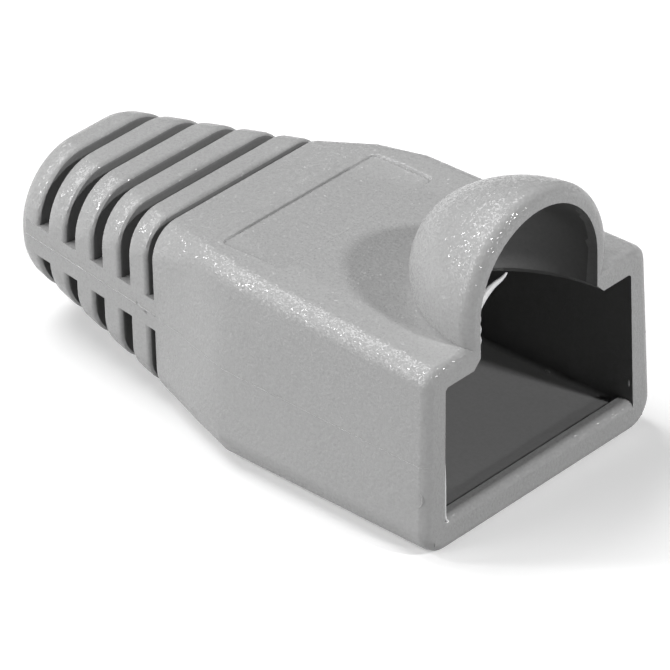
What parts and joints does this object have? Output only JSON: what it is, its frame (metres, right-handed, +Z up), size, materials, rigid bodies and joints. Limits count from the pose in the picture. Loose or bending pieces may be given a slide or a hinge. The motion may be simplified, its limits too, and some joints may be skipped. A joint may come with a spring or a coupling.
{
  "type": "strain relief boot",
  "caption": "Soft one-piece strain relief boot for a modular network plug, with a square mouth, a hood over the latch and a slotted tail for the cable.",
  "frame": {"origin": "under the middle of the boot's length and width, on the surface that it stands on", "axes": "+X out of the mouth, along the cable's axis; +Z up through the hood; +Y to the left of someone looking along +X"},
  "size_m": [0.0254, 0.014, 0.014],
  "materials": {
    "grey_moulding": "matte, with a fine spark-eroded grain"
  },
  "bodies": {
    "root": {"boot": "grey_moulding"}
  },
  "joints": []
}
